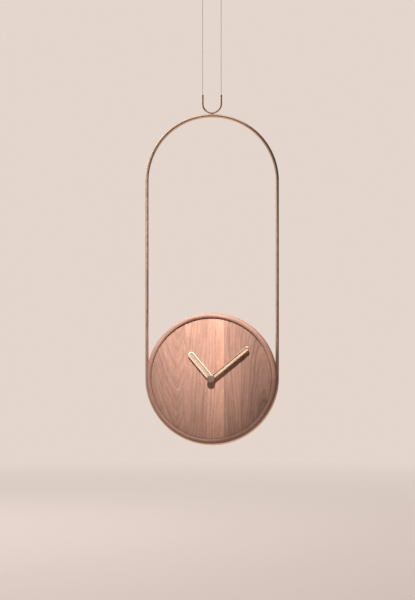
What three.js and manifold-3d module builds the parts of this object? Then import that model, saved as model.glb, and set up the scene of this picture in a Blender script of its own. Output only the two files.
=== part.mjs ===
// Hanging wall clock: a walnut drum carried in a slim brass rod loop, hung on two fine cables.
// Millimetres. The origin is the centre of the ceiling plate's top face, +Z up, +X right,
// and the dial faces -Y. Everything hangs below the ceiling plane z = 0.

import * as THREE from 'three';
import { mergeVertices } from 'three/addons/utils/BufferGeometryUtils.js';
import Module from 'manifold-3d';

const wasm = await Module();
wasm.setup();

// ---------------------------------------------------------------- driving dimensions

const GAP = 0.3; // space between pieces that touch on the real clock

const LOOP_WIDTH = 300; // rod loop, outside
const LOOP_HEIGHT = 740; // rod loop, outside
const ROD_R = 3.7;

const CASE_DEPTH = 45;
const LIP_WIDTH = 10.8; // rounded front edge of the drum
const GROOVE_DEPTH = 3.1; // the rods lie in a groove turned round the drum
const DIAL_RECESS = 5; // dial face behind the front of the lip
const DIAL_THICKNESS = 6;
const DRUM_BORE_R = 126; // hollow behind the dial
const COVER_THICKNESS = 4.9;
const WINDOW_R = 55; // access window in the back cover

const CABLE_R = 0.5;
const CABLE_X = 20.8; // each cable beside the centre line
const FITTING_DROP = 52; // lowest point of the ceiling fitting
const ARCH_BELOW_FITTING = 286;
const HANGER_ROD_R = 2.1;
const HANGER_HEIGHT = 35; // U hanger's arm ends above the top of the loop

const HOUR_HAND = { length: 75, width: 14.2, rim: 2.9, front: 4.6, back: 2.2, turn: -40.2 };
const MINUTE_HAND = { length: 108.5, width: 10.4, rim: 2.5, front: 9.4, back: 7.0, turn: 50.5 };
const HUB_R = 8.75;
const HUB_FRONT = 12.5; // hub cap's face in front of the dial

// ---------------------------------------------------------------- derived places

const LOOP_R = LOOP_WIDTH / 2 - ROD_R; // centre line of the arch and of the cradle
const GROOVE_R = LOOP_R - ROD_R - GAP; // floor of the rods' groove round the drum
const GROOVE_HALF = ROD_R + GAP; // half the groove's width
const DRUM_R = GROOVE_R + GROOVE_DEPTH;
const REBATE_R = DRUM_R - LIP_WIDTH; // front and back seats inside the drum
const LOOP_TOP_Z = -(FITTING_DROP + ARCH_BELOW_FITTING);
const ARCH_Z = LOOP_TOP_Z - LOOP_WIDTH / 2; // centre of the arch
const DRUM_Z = LOOP_TOP_Z - LOOP_HEIGHT + LOOP_WIDTH / 2; // centre of the drum and of the cradle
const CASE_FRONT_Y = -CASE_DEPTH / 2;
const CASE_BACK_Y = CASE_DEPTH / 2;
const DIAL_Y = CASE_FRONT_Y + DIAL_RECESS; // dial face
const DIAL_BACK_Y = DIAL_Y + DIAL_THICKNESS;
const COVER_BACK_Y = CASE_BACK_Y - GAP;
const COVER_Y = COVER_BACK_Y - COVER_THICKNESS;

// ---------------------------------------------------------------- materials

const finish = (color, roughness, metalness) =>
  new THREE.MeshStandardMaterial({ color, roughness, metalness });

const BRASS = finish(0xc9a184, 0.28, 1);
const BRASS_SATIN = finish(0xd2ad90, 0.42, 1);
const HUB_METAL = finish(0x8d7468, 0.45, 1);
const STEEL = finish(0xb8b8ba, 0.35, 1);
const WALNUT = finish(0x8a6450, 0.5, 0);
const DIAL_WALNUT = finish(0xc08e76, 0.55, 0);
const PLYWOOD = finish(0xb4906c, 0.7, 0);
const FELT = finish(0x3b3431, 0.95, 0);
const BLACK_PLASTIC = finish(0x1d1d1f, 0.5, 0);
const GEAR_PLASTIC = finish(0xe6e2d8, 0.5, 0);
const COPPER = finish(0xb5683c, 0.4, 1);
const BOARD = finish(0x2f5a41, 0.6, 0);
const BATTERY_SKIN = finish(0x5a6470, 0.4, 0.3);
const MAGNET = finish(0x4a4a4e, 0.4, 0.8);

// ---------------------------------------------------------------- geometry helpers

// Keeps positions only, merges shared vertices, drops empty faces and turns the faces outwards.
function closed(geometry) {
  const bare = new THREE.BufferGeometry();
  bare.setAttribute('position', geometry.attributes.position);
  if (geometry.index) bare.setIndex(geometry.index);
  const merged = mergeVertices(bare, 1e-4);
  const position = merged.attributes.position;
  const faces = [];
  let volume = 0;
  const corner = [new THREE.Vector3(), new THREE.Vector3(), new THREE.Vector3()];
  for (let i = 0; i < merged.index.count; i += 3) {
    const face = [0, 1, 2].map((k) => merged.index.getX(i + k));
    if (new Set(face).size < 3) continue;
    corner.forEach((v, k) => v.fromBufferAttribute(position, face[k]));
    volume += corner[0].dot(corner[1].clone().cross(corner[2]));
    faces.push(face);
  }
  merged.setIndex(faces.flatMap(([a, b, c]) => (volume < 0 ? [a, c, b] : [a, b, c])));
  return merged;
}

function toSolid(geometry) {
  const g = closed(geometry);
  const vertProperties = new Float32Array(g.attributes.position.array);
  const triVerts = new Uint32Array(g.index.array);
  return new wasm.Manifold(new wasm.Mesh({ numProp: 3, vertProperties, triVerts }));
}

function toGeometry(solid) {
  const { vertProperties, triVerts } = solid.getMesh();
  const g = new THREE.BufferGeometry();
  g.setAttribute('position', new THREE.BufferAttribute(vertProperties, 3));
  g.setIndex(new THREE.BufferAttribute(triVerts, 1));
  return g;
}

function cut(body, ...tools) {
  return toGeometry(tools.reduce((solid, tool) => solid.subtract(toSolid(tool)), toSolid(body)));
}

function join(body, ...others) {
  return toGeometry(others.reduce((solid, other) => solid.add(toSolid(other)), toSolid(body)));
}

const points = (pairs) => pairs.map(([x, y]) => new THREE.Vector2(x, y));

// A turned piece on the Y axis: [radius, y] pairs that close on themselves or end on the axis.
function turned(profile, sides) {
  const ends = [profile[0], profile[profile.length - 1]];
  const loop = ends.every(([r]) => r === 0) ? profile : [...profile, profile[0]];
  return closed(new THREE.LatheGeometry(points(loop), sides));
}

// The same on the Z axis: [radius, z] pairs.
const turnedUp = (profile, sides) => turned(profile, sides).rotateX(Math.PI / 2);

// A round bar on the Y axis, or a ring when it has a bore.
function disc(radius, front, back, sides, bore = 0) {
  return turned([[bore, front], [radius, front], [radius, back], [bore, back]], sides);
}

const discUp = (radius, low, high, sides, bore = 0) =>
  disc(radius, low, high, sides, bore).rotateX(Math.PI / 2);

const discAcross = (radius, left, right, sides, bore = 0) =>
  disc(radius, left, right, sides, bore).rotateZ(-Math.PI / 2);

function box(x0, x1, y0, y1, z0, z1) {
  const g = new THREE.BoxGeometry(x1 - x0, y1 - y0, z1 - z0);
  return g.translate((x0 + x1) / 2, (y0 + y1) / 2, (z0 + z1) / 2);
}

// A flat piece: an outline in X and Z, between two planes across Y.
function plate(outline, front, back) {
  const shape = Array.isArray(outline) ? new THREE.Shape(points(outline)) : outline;
  const depth = back - front;
  const g = new THREE.ExtrudeGeometry(shape, { depth, bevelEnabled: false, curveSegments: 7 });
  return closed(g.rotateX(Math.PI / 2).translate(0, back, 0));
}

// A round rod along a curve.
function rodAlong(curve, radius, sides, steps) {
  const section = new THREE.Shape();
  for (let i = 0; i < sides; i += 1) {
    const a = (i / sides) * 2 * Math.PI;
    section[i ? 'lineTo' : 'moveTo'](radius * Math.cos(a), radius * Math.sin(a));
  }
  const options = { steps, extrudePath: curve, bevelEnabled: false };
  return closed(new THREE.ExtrudeGeometry(section, options));
}

// An arc in the plane of the loop, from one angle to another, in radians from +X towards +Z.
class ArcXZ extends THREE.Curve {
  constructor(radius, z, from, to) {
    super();
    Object.assign(this, { radius, z, from, to });
  }

  getPoint(t, target = new THREE.Vector3()) {
    const a = this.from + (this.to - this.from) * t;
    return target.set(this.radius * Math.cos(a), 0, this.z + this.radius * Math.sin(a));
  }
}

const straight = (...xyz) => new THREE.LineCurve3(
  new THREE.Vector3(...xyz.slice(0, 3)),
  new THREE.Vector3(...xyz.slice(3)),
);

function piece(name, geometry, material, parent) {
  const mesh = new THREE.Mesh(closed(geometry), material);
  mesh.name = name;
  parent.add(mesh);
  return mesh;
}

const SIDES = [['left', -1], ['right', 1]];

// ---------------------------------------------------------------- ceiling fitting

const PIN_Z = -38.5; // pivot of the front-to-back swing
const PIN_R = 1.5;
const BAR_TOP_Z = -FITTING_DROP + 6;
const TOP_BALL_R = 2;
const TOP_BALL_Z = BAR_TOP_Z + 0.9;
const CANOPY_BOTTOM_Z = -26;

function ceilingFitting() {
  const group = new THREE.Group();
  const screwHoles = [-1, 1].map((s) => discUp(2.2, -4, 1, 10).translate(s * 19, 0, 0));
  piece('ceiling_plate', cut(discUp(28, -3, 0, 32), ...screwHoles), STEEL, group);

  const cup = [
    [4.3, CANOPY_BOTTOM_Z], [30, CANOPY_BOTTOM_Z], [36, -23.5], [38, -18], [38, -GAP],
    [36.8, -GAP], [36.8, -17.8], [35.2, -22.4], [29.8, CANOPY_BOTTOM_Z + 1.2],
    [4.3, CANOPY_BOTTOM_Z + 1.2],
  ];
  piece('canopy_cup', turnedUp(cup, 32), BRASS, group);

  const nut = [
    [4.3, -31], [6.6, -31], [7.6, -30], [7.6, -27.3], [6.6, CANOPY_BOTTOM_Z - GAP],
    [4.3, CANOPY_BOTTOM_Z - GAP],
  ];
  piece('canopy_nut', turnedUp(nut, 16), BRASS, group);

  const stem = discUp(4, -32, -3 - GAP, 20);
  const head = box(-6, 6, -4.5, 4.5, -43, -31.5);
  const slot = box(-2.9, 2.9, -5, 5, -44, -34.5);
  const pinHole = discAcross(PIN_R + 0.25, -9, 9, 16).translate(0, 0, PIN_Z);
  piece('hanger_fork', cut(join(stem, head), slot, pinHole), BRASS, group);

  const pin = [[0, -7.6], [PIN_R, -7.6], [PIN_R, 6.3], [2.6, 6.3], [2.6, 7.5], [0, 7.5]];
  const turnedPin = turned(pin, 16).rotateZ(-Math.PI / 2);
  piece('pivot_pin', turnedPin.translate(0, 0, PIN_Z), STEEL, group);
  const clip = discAcross(2.8, -7.2, -6.3, 16, PIN_R + 0.25);
  piece('pin_clip', clip.translate(0, 0, PIN_Z), STEEL, group);
  return group;
}

// The bar under the fork: each end has a seat for a cable's ball and a flared way out below.
function spreader() {
  const group = new THREE.Group();
  const bar = box(-27, 27, -4, 4, -FITTING_DROP, BAR_TOP_Z);
  const lug = box(-2.6, 2.6, -3.5, 3.5, BAR_TOP_Z - 1, -35.2);
  const pinHole = discAcross(PIN_R + 0.25, -4, 4, 16).translate(0, 0, PIN_Z);
  const seats = SIDES.flatMap(([, side]) => {
    const seat = new THREE.SphereGeometry(TOP_BALL_R + 0.4, 12, 8);
    const exit = [
      [0, -FITTING_DROP - 1], [2.6, -FITTING_DROP - 1], [1.2, -48.4], [1.2, -46.5], [0, -46.5],
    ];
    return [
      seat.translate(side * CABLE_X, 0, TOP_BALL_Z),
      turnedUp(exit, 12).translate(side * CABLE_X, 0, 0),
    ];
  });
  piece('spreader_bar', cut(join(bar, lug), pinHole, ...seats), BRASS, group);
  return group;
}

// ---------------------------------------------------------------- cables and U hanger

const SOCKET_R = 2.3;
const LOW_BALL_R = 1.1;
const SOCKET_Z = LOOP_TOP_Z + HANGER_HEIGHT + GAP; // underside of each socket
const LOW_BALL_Z = SOCKET_Z + 5.2;
const CABLE_TOP_Z = TOP_BALL_Z - TOP_BALL_R - GAP;
const CABLE_LOW_Z = LOW_BALL_Z + LOW_BALL_R + GAP;
const CABLE_STEPS = 6;

function cables() {
  const group = new THREE.Group();
  for (const [name, side] of SIDES) {
    const x = side * CABLE_X;
    const topBall = new THREE.SphereGeometry(TOP_BALL_R, 12, 6).translate(x, 0, TOP_BALL_Z);
    piece(`cable_ball_top_${name}`, topBall, STEEL, group);
    const path = straight(x, 0, CABLE_LOW_Z, x, 0, CABLE_TOP_Z);
    piece(`cable_${name}`, rodAlong(path, CABLE_R, 8, CABLE_STEPS), STEEL, group);
    const lowBall = new THREE.SphereGeometry(LOW_BALL_R, 10, 6).translate(x, 0, LOW_BALL_Z);
    piece(`cable_ball_low_${name}`, lowBall, STEEL, group);
  }
  return group;
}

function hanger() {
  const group = new THREE.Group();
  const bendZ = LOOP_TOP_Z + GAP + HANGER_ROD_R + CABLE_X;
  const armEnd = LOOP_TOP_Z + HANGER_HEIGHT;
  const path = new THREE.CurvePath();
  path.add(straight(CABLE_X, 0, armEnd, CABLE_X, 0, bendZ));
  path.add(new ArcXZ(CABLE_X, bendZ, 0, -Math.PI));
  path.add(straight(-CABLE_X, 0, bendZ, -CABLE_X, 0, armEnd));
  piece('u_hanger', rodAlong(path, HANGER_ROD_R, 8, 26), BRASS, group);

  const socket = [
    [0, SOCKET_Z], [SOCKET_R, SOCKET_Z], [SOCKET_R, SOCKET_Z + 7.4],
    [SOCKET_R - 0.35, SOCKET_Z + 7.9], [1.3, SOCKET_Z + 7.9], [0.95, SOCKET_Z + 6.9],
    [1.4, SOCKET_Z + 6.6], [1.4, SOCKET_Z + 3.7], [0, SOCKET_Z + 3.7],
  ];
  for (const [name, side] of SIDES) {
    const g = turnedUp(socket, 12).translate(side * CABLE_X, 0, 0);
    piece(`cable_socket_${name}`, g, BRASS, group);
  }
  return group;
}

// ---------------------------------------------------------------- rod loop

const ROD_SIDES = 10;
const ARCH_STEPS = 24;
const CRADLE_STEPS = 30; // fine enough to stay clear of the drum
const FRAME_SCREW_R = 1;
const FRAME_SCREW_ANGLES = [-150, -90, -30].map(THREE.MathUtils.degToRad);

// A piece built along +X from the drum's centre, turned to an angle in the plane of the loop.
const spoke = (geometry, angle) => geometry.rotateY(-angle);

function rodLoop() {
  const group = new THREE.Group();
  const arch = new ArcXZ(LOOP_R, ARCH_Z, 0, Math.PI);
  piece('frame_arch', rodAlong(arch, ROD_R, ROD_SIDES, ARCH_STEPS), BRASS, group);
  for (const [name, side] of SIDES) {
    const x = side * LOOP_R;
    const leg = straight(x, 0, DRUM_Z + GAP, x, 0, ARCH_Z - GAP);
    piece(`frame_leg_${name}`, rodAlong(leg, ROD_R, ROD_SIDES, 1), BRASS, group);
  }
  const cradle = rodAlong(new ArcXZ(LOOP_R, 0, -Math.PI, 0), ROD_R, ROD_SIDES, CRADLE_STEPS);
  const tapped = FRAME_SCREW_ANGLES.map((angle) =>
    spoke(discAcross(FRAME_SCREW_R + GAP, LOOP_R - ROD_R - 1.5, LOOP_R, 8), angle));
  const drilled = cut(cradle, ...tapped).translate(0, 0, DRUM_Z);
  piece('frame_cradle', drilled, BRASS, group);
  return group;
}

// ---------------------------------------------------------------- drum

const DRUM_SIDES = 48;
const COVER_SCREW_R = 1.2;
const COVER_SCREW_RING = (DRUM_BORE_R + REBATE_R) / 2;
const PAD_RING = 96;
const PAD_R = 9;

const onRing = (radius, degrees) => {
  const a = THREE.MathUtils.degToRad(degrees);
  return [radius * Math.cos(a), 0, radius * Math.sin(a)];
};
const COVER_SCREW_PLACES = [45, 135, 225, 315].map((a) => onRing(COVER_SCREW_RING, a));
const PAD_PLACES = [90, 210, 330].map((a) => onRing(PAD_RING, a));

function drumProfile() {
  const lipR = LIP_WIDTH / 2;
  const lipSteps = 6;
  const lip = [];
  for (let i = 0; i <= lipSteps; i += 1) {
    const a = (i / lipSteps) * Math.PI;
    const r = REBATE_R + lipR + lipR * Math.cos(a);
    lip.push([r, CASE_FRONT_Y + lipR - lipR * Math.sin(a)]);
  }
  return [
    [DRUM_R, CASE_BACK_Y - 1], [DRUM_R, GROOVE_HALF], [GROOVE_R, GROOVE_HALF],
    [GROOVE_R, -GROOVE_HALF], [DRUM_R, -GROOVE_HALF], ...lip, [REBATE_R, DIAL_BACK_Y + GAP],
    [DRUM_BORE_R, DIAL_BACK_Y + GAP], [DRUM_BORE_R, COVER_Y - GAP], [REBATE_R, COVER_Y - GAP],
    [REBATE_R, CASE_BACK_Y], [DRUM_R - 1, CASE_BACK_Y],
  ];
}

function drum() {
  const group = new THREE.Group();
  const frameHoles = FRAME_SCREW_ANGLES.map((angle) =>
    spoke(discAcross(FRAME_SCREW_R + GAP, DRUM_BORE_R - 2, DRUM_R + 2, 8), angle));
  const pilotHoles = COVER_SCREW_PLACES.map((at) =>
    disc(COVER_SCREW_R + GAP, COVER_Y - 11, COVER_Y + 1, 8).translate(...at));
  const ring = cut(turned(drumProfile(), DRUM_SIDES), ...frameHoles, ...pilotHoles);
  piece('case_ring', ring, WALNUT, group);

  const dialR = REBATE_R - GAP;
  piece('dial', disc(dialR, DIAL_Y, DIAL_BACK_Y, DRUM_SIDES, 4.3), DIAL_WALNUT, group);

  const blank = disc(dialR, COVER_Y, COVER_BACK_Y, DRUM_SIDES, WINDOW_R);
  const holes = COVER_SCREW_PLACES.map((at) =>
    disc(COVER_SCREW_R + GAP, COVER_Y - 1, CASE_BACK_Y, 8).translate(...at));
  piece('back_cover', cut(blank, ...holes), PLYWOOD, group);

  const headY = COVER_BACK_Y + GAP;
  const coverScrew = [
    [0, COVER_Y - 10.5], [COVER_SCREW_R, COVER_Y - 9], [COVER_SCREW_R, headY], [3.2, headY],
    [2.4, headY + 1.6], [0, headY + 1.6],
  ];
  COVER_SCREW_PLACES.forEach((at, i) =>
    piece(`cover_screw_${i + 1}`, turned(coverScrew, 10).translate(...at), STEEL, group));
  PAD_PLACES.forEach((at, i) => {
    const pad = disc(PAD_R, COVER_BACK_Y + GAP, COVER_BACK_Y + GAP + 2.5, 20);
    piece(`wall_pad_${i + 1}`, pad.translate(...at), FELT, group);
  });

  const seat = DRUM_BORE_R - 0.9; // the screw heads bear on the curved bore by their edges
  const frameScrew = [
    [0, seat - 2], [2.6, seat - 2], [2.6, seat], [FRAME_SCREW_R, seat],
    [FRAME_SCREW_R, LOOP_R - 0.5], [0, LOOP_R - 0.5],
  ];
  FRAME_SCREW_ANGLES.forEach((angle, i) => {
    const along = turned(frameScrew, 10).rotateZ(-Math.PI / 2);
    piece(`frame_screw_${i + 1}`, spoke(along, angle), STEEL, group);
  });
  return group;
}

// ---------------------------------------------------------------- clock movement

const HOUSING_HALF = 28;
const WALL = 1.2;
const HOUSING_Y = DIAL_BACK_Y + GAP;
const INNER_Y = HOUSING_Y + WALL; // inner side of the housing's front wall
const REAR_Y = 4.8; // rear plate of the housing
const BAY_TOP_Z = -11.2; // top of the battery bay
const BATTERY_Z = -19;
const BATTERY_R = 7;
const BUSHING_R = 4;
const BUSHING_BORE_R = 3.2;
const PIPE_R = 2.95; // hour pipe
const PIPE_BORE_R = 1.95;
const SHAFT_R = 1.75; // minute shaft
const ARBOR_FRONT_Y = INNER_Y + 0.2;
const ARBOR_BACK_Y = REAR_Y - 0.4;

const MOTION_MODULE = 0.4;
const MOTION_DISTANCE = 20 * MOTION_MODULE;
const CENTER_MODULE = 0.34;
const THIRD_MODULE = 0.32;
const SECONDS_MODULE = 0.36;

const polar = ([x, z], distance, degrees) => {
  const a = THREE.MathUtils.degToRad(degrees);
  return [x + distance * Math.cos(a), z + distance * Math.sin(a)];
};

// Directions of the lines of centres, in degrees from +X towards +Z.
const TO_MINUTE_WHEEL = 0;
const TO_KNOB = -35;
const TO_THIRD = 150;
const TO_SECONDS = 60;
const CENTER = [0, 0];
const MINUTE_WHEEL_AT = polar(CENTER, MOTION_DISTANCE, TO_MINUTE_WHEEL);
const KNOB_AT = polar(MINUTE_WHEEL_AT, MOTION_DISTANCE, TO_KNOB);
const THIRD_AT = polar(CENTER, 27 * CENTER_MODULE, TO_THIRD);
const SECONDS_AT = polar(THIRD_AT, 25.5 * THIRD_MODULE, TO_SECONDS);
const ROTOR_AT = polar(SECONDS_AT, 7.1, 25);

// A toothed wheel with one tooth centred on the direction given, in degrees.
function gear(teeth, module, front, back, toothAt) {
  const pitch = (2 * Math.PI) / teeth;
  const rootR = module * (teeth / 2 - 1.15);
  const tipR = module * (teeth / 2 + 0.9);
  const outline = [];
  for (let i = 0; i < teeth; i += 1) {
    const a = THREE.MathUtils.degToRad(toothAt) + i * pitch;
    const flank = [[rootR, -0.29], [tipR, -0.1], [tipR, 0.1], [rootR, 0.29]];
    for (const [r, share] of flank) {
      outline.push([r * Math.cos(a + share * pitch), r * Math.sin(a + share * pitch)]);
    }
  }
  return plate(outline, front, back);
}

// A gap, and not a tooth, on the line back to the wheel that this one meshes with.
const gapTowards = (degrees, teeth) => degrees + 180 + 180 / teeth;

const at = ([x, z]) => [x, 0, z];

function gearTrain(group) {
  const hourPlate = gear(32, MOTION_MODULE, -8.6, -7.6, TO_MINUTE_WHEEL);
  const pipe = disc(PIPE_R, DIAL_Y - 5.2, -8.1, 16);
  const pipeBore = disc(PIPE_BORE_R, DIAL_Y - 6, -7, 16);
  piece('hour_wheel', cut(join(hourPlate, pipe), pipeBore), GEAR_PLASTIC, group);

  const minuteGap = gapTowards(TO_MINUTE_WHEEL, 30);
  const minutePinionGap = gapTowards(TO_MINUTE_WHEEL, 8);
  const minuteWheel = join(
    gear(30, MOTION_MODULE, -6.8, -5.8, minuteGap),
    gear(8, MOTION_MODULE, -8.8, -6.5, minutePinionGap),
    disc(0.6, ARBOR_FRONT_Y, -5, 8),
  );
  piece('minute_wheel', minuteWheel.translate(...at(MINUTE_WHEEL_AT)), GEAR_PLASTIC, group);

  const centerWheel = join(
    gear(48, CENTER_MODULE, -4.6, -3.8, TO_THIRD),
    gear(10, MOTION_MODULE, -7.1, -4.5, TO_MINUTE_WHEEL),
    disc(SHAFT_R, DIAL_Y - HUB_FRONT + 1.7, -6.9, 16),
    disc(1, -5, ARBOR_BACK_Y, 8),
  );
  piece('center_wheel', centerWheel, BRASS, group);

  // A tooth of the 30-tooth wheel points at the knob when this many degrees are left over.
  const minutePitch = 360 / 30;
  const towardsKnob = (TO_KNOB - minuteGap) % minutePitch;
  const knobTooth = TO_KNOB + 180 + 180 / 10 + (towardsKnob * 30) / 10;
  const grip = [];
  const flutes = 16;
  for (let i = 0; i < flutes * 2; i += 1) {
    grip.push(polar(CENTER, i % 2 ? 6 : 6.6, (i * 180) / flutes));
  }
  const knob = join(
    gear(10, MOTION_MODULE, -7, -5.6, knobTooth),
    disc(0.9, ARBOR_FRONT_Y, 7.5, 10),
    plate(grip, 7, 10),
  );
  piece('setting_knob', knob.translate(...at(KNOB_AT)), GEAR_PLASTIC, group);

  const third = join(
    gear(6, CENTER_MODULE, -5, -2.3, gapTowards(TO_THIRD, 6)),
    gear(45, THIRD_MODULE, -2.6, -1.8, TO_SECONDS),
    disc(0.6, ARBOR_FRONT_Y, ARBOR_BACK_Y, 8),
  );
  piece('third_wheel', third.translate(...at(THIRD_AT)), GEAR_PLASTIC, group);

  const seconds = join(
    gear(6, THIRD_MODULE, -3, -0.3, gapTowards(TO_SECONDS, 6)),
    gear(30, SECONDS_MODULE, -0.6, 0.2, 0),
    disc(0.6, ARBOR_FRONT_Y, ARBOR_BACK_Y, 8),
  );
  piece('seconds_wheel', seconds.translate(...at(SECONDS_AT)), GEAR_PLASTIC, group);
}

function motor(group) {
  const rotor = join(
    disc(2.3, 0.5, 2.5, 16),
    disc(1, -0.8, 0.6, 10),
    disc(0.5, ARBOR_FRONT_Y, ARBOR_BACK_Y, 8),
  );
  piece('rotor', rotor.translate(...at(ROTOR_AT)), MAGNET, group);

  const stator = cut(
    box(-2.2, 20, 0.9, 1.7, 10.9, 24),
    box(0.8, 17, 0, 3, 18.4, 22),
    disc(2.75, 0, 3, 16).translate(...at(ROTOR_AT)),
  );
  piece('stator', stator, STEEL, group);

  const bobbin = [
    [1.4, 2.5], [3.2, 2.5], [3.2, 3.3], [2.7, 3.3], [2.7, 14.7], [3.2, 14.7], [3.2, 15.5],
    [1.4, 15.5],
  ];
  const coil = turned(bobbin, 12).rotateZ(-Math.PI / 2);
  piece('coil', coil.translate(0, 1.3, 23), COPPER, group);

  piece('circuit_board', box(-25.5, -6, 1.8, 2.6, 13.5, 26), BOARD, group);
  const can = discAcross(0.75, -19, -13, 10).translate(0, 3.65, 22);
  piece('quartz_crystal', can, STEEL, group);
}

function housing(group) {
  const inner = HOUSING_HALF - WALL;
  const half = HOUSING_HALF;
  const shell = box(-half, half, HOUSING_Y, REAR_Y - GAP, -half, half);
  const trainRoom = box(-inner, inner, INNER_Y, REAR_Y, BAY_TOP_Z + 1, inner);
  const batteryRoom = box(-inner, inner, INNER_Y, REAR_Y, -inner, BAY_TOP_Z);
  const neck = disc(BUSHING_R + GAP, HOUSING_Y - 1, INNER_Y + 1, 16);
  piece('housing_front', cut(shell, trainRoom, batteryRoom, neck), BLACK_PLASTIC, group);

  const rear = box(-half, half, REAR_Y, REAR_Y + 1.5, BAY_TOP_Z, half);
  const arborHole = disc(1.4, REAR_Y - 1, REAR_Y + 3, 12).translate(...at(KNOB_AT));
  piece('housing_rear', cut(rear, arborHole), BLACK_PLASTIC, group);

  const bushing = [
    [BUSHING_BORE_R, DIAL_Y - 1.9], [BUSHING_R, DIAL_Y - 1.9], [BUSHING_R, INNER_Y + GAP],
    [5.5, INNER_Y + GAP], [5.5, INNER_Y + 1], [BUSHING_BORE_R, INNER_Y + 1],
  ];
  piece('threaded_bushing', turned(bushing, 16), BRASS, group);
  piece('dial_nut', disc(6.9, DIAL_Y - 1.8, DIAL_Y - GAP, 6, BUSHING_R + 1.1), BRASS, group);

  const cell = [[0, -24.6], [6.4, -24.6], [BATTERY_R, -24], [BATTERY_R, 23.3], [6.4, 23.9],
    [2.7, 23.9], [2.7, 25.2], [0, 25.2]];
  const battery = turned(cell, 16).rotateZ(-Math.PI / 2);
  piece('battery', battery.translate(0, -2.7, BATTERY_Z), BATTERY_SKIN, group);

  const leaf = box(25.6, 26.2, -6.5, 1.2, BATTERY_Z - 4, BATTERY_Z + 4);
  piece('contact_positive', leaf, STEEL, group);
  const spring = [[-26.5, -24], [-25.9, -24], [-25, -19], [-25.9, -14], [-26.5, -14], [-25.6, -19]];
  piece('contact_negative', plate(spring, -6.5, 1.2), STEEL, group);
}

function movement() {
  const group = new THREE.Group();
  housing(group);
  motor(group);
  gearTrain(group);
  return group;
}

// ---------------------------------------------------------------- hands

// A bar with round ends standing on the centre, from z = 0 up to a length.
function bar(width, length, inset) {
  const r = width / 2 - inset;
  const shape = new THREE.Shape();
  shape.moveTo(r, 0);
  shape.lineTo(r, length - width / 2);
  shape.absarc(0, length - width / 2, r, 0, Math.PI, false);
  shape.lineTo(-r, 0);
  shape.absarc(0, 0, r, Math.PI, 2 * Math.PI, false);
  return shape;
}

function hand(size, holeR, ...bosses) {
  const front = DIAL_Y - size.front;
  const back = DIAL_Y - size.back;
  const groove = plate(bar(size.width, size.length, size.rim), front - 1, front + 1.4);
  const blank = join(plate(bar(size.width, size.length, 0), front, back), ...bosses);
  const core = disc(size.width / 2 - 0.6, front, back, 20);
  return cut(join(cut(blank, groove), core), disc(holeR, front - 3, back + 3, 16));
}

function hands() {
  const group = new THREE.Group();
  const hour = piece('hour_hand', hand(HOUR_HAND, PIPE_R + GAP), BRASS_SATIN, group);
  hour.rotation.y = THREE.MathUtils.degToRad(HOUR_HAND.turn);

  const boss = disc(3.6, DIAL_Y - MINUTE_HAND.back - 0.5, DIAL_Y - 5.6, 16);
  const minute = piece('minute_hand', hand(MINUTE_HAND, SHAFT_R + GAP, boss), BRASS, group);
  minute.rotation.y = THREE.MathUtils.degToRad(MINUTE_HAND.turn);

  const front = DIAL_Y - HUB_FRONT;
  const back = DIAL_Y - MINUTE_HAND.front - GAP;
  const cap = [
    [0, front + 1], [SHAFT_R + GAP, front + 1], [SHAFT_R + GAP, back], [HUB_R, back],
    [HUB_R, front + 0.8], [HUB_R - 0.7, front + 0.1], [HUB_R - 2, front], [0, front],
  ];
  piece('hub_cap', turned(cap, 24), HUB_METAL, group);
  return group;
}

// ---------------------------------------------------------------- whole clock

const clock = new THREE.Group();
clock.position.z = DRUM_Z;
clock.add(drum(), movement(), hands());

const model = new THREE.Group();
model.add(ceilingFitting(), spreader(), cables(), hanger(), rodLoop(), clock);

export default model;
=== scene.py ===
"""Looks of a hanging wall clock: a walnut drum in a brass rod loop, hung on two fine cables.

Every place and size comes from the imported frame; the numbers here are finishes and fine detail.
"""

import math
import random

import bmesh
import bpy
from mathutils import Matrix, Vector

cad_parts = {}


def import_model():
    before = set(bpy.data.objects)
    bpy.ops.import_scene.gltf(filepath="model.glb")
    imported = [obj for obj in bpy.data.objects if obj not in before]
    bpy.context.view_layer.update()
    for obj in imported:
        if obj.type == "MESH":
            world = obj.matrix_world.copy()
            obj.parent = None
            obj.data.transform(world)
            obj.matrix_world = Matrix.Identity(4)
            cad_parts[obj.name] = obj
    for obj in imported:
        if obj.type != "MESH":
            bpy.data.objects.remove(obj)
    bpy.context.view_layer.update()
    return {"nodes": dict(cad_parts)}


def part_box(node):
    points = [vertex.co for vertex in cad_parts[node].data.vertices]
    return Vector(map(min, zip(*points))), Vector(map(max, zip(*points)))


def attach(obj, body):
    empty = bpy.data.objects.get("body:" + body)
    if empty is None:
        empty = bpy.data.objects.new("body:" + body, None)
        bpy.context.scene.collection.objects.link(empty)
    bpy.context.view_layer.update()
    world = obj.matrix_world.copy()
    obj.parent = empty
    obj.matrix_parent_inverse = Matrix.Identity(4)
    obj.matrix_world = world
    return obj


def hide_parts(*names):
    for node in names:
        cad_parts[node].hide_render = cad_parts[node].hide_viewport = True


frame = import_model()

MM = 0.001
GAP = 0.3 * MM  # between neighbouring pieces
TURN = 2 * math.pi


# ------------------------ places from the frame


def box(node):
    low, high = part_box(node)
    return Vector(low), Vector(high)


def middle(node):
    low, high = box(node)
    return (low + high) / 2


def size(node):
    low, high = box(node)
    return high - low


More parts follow.
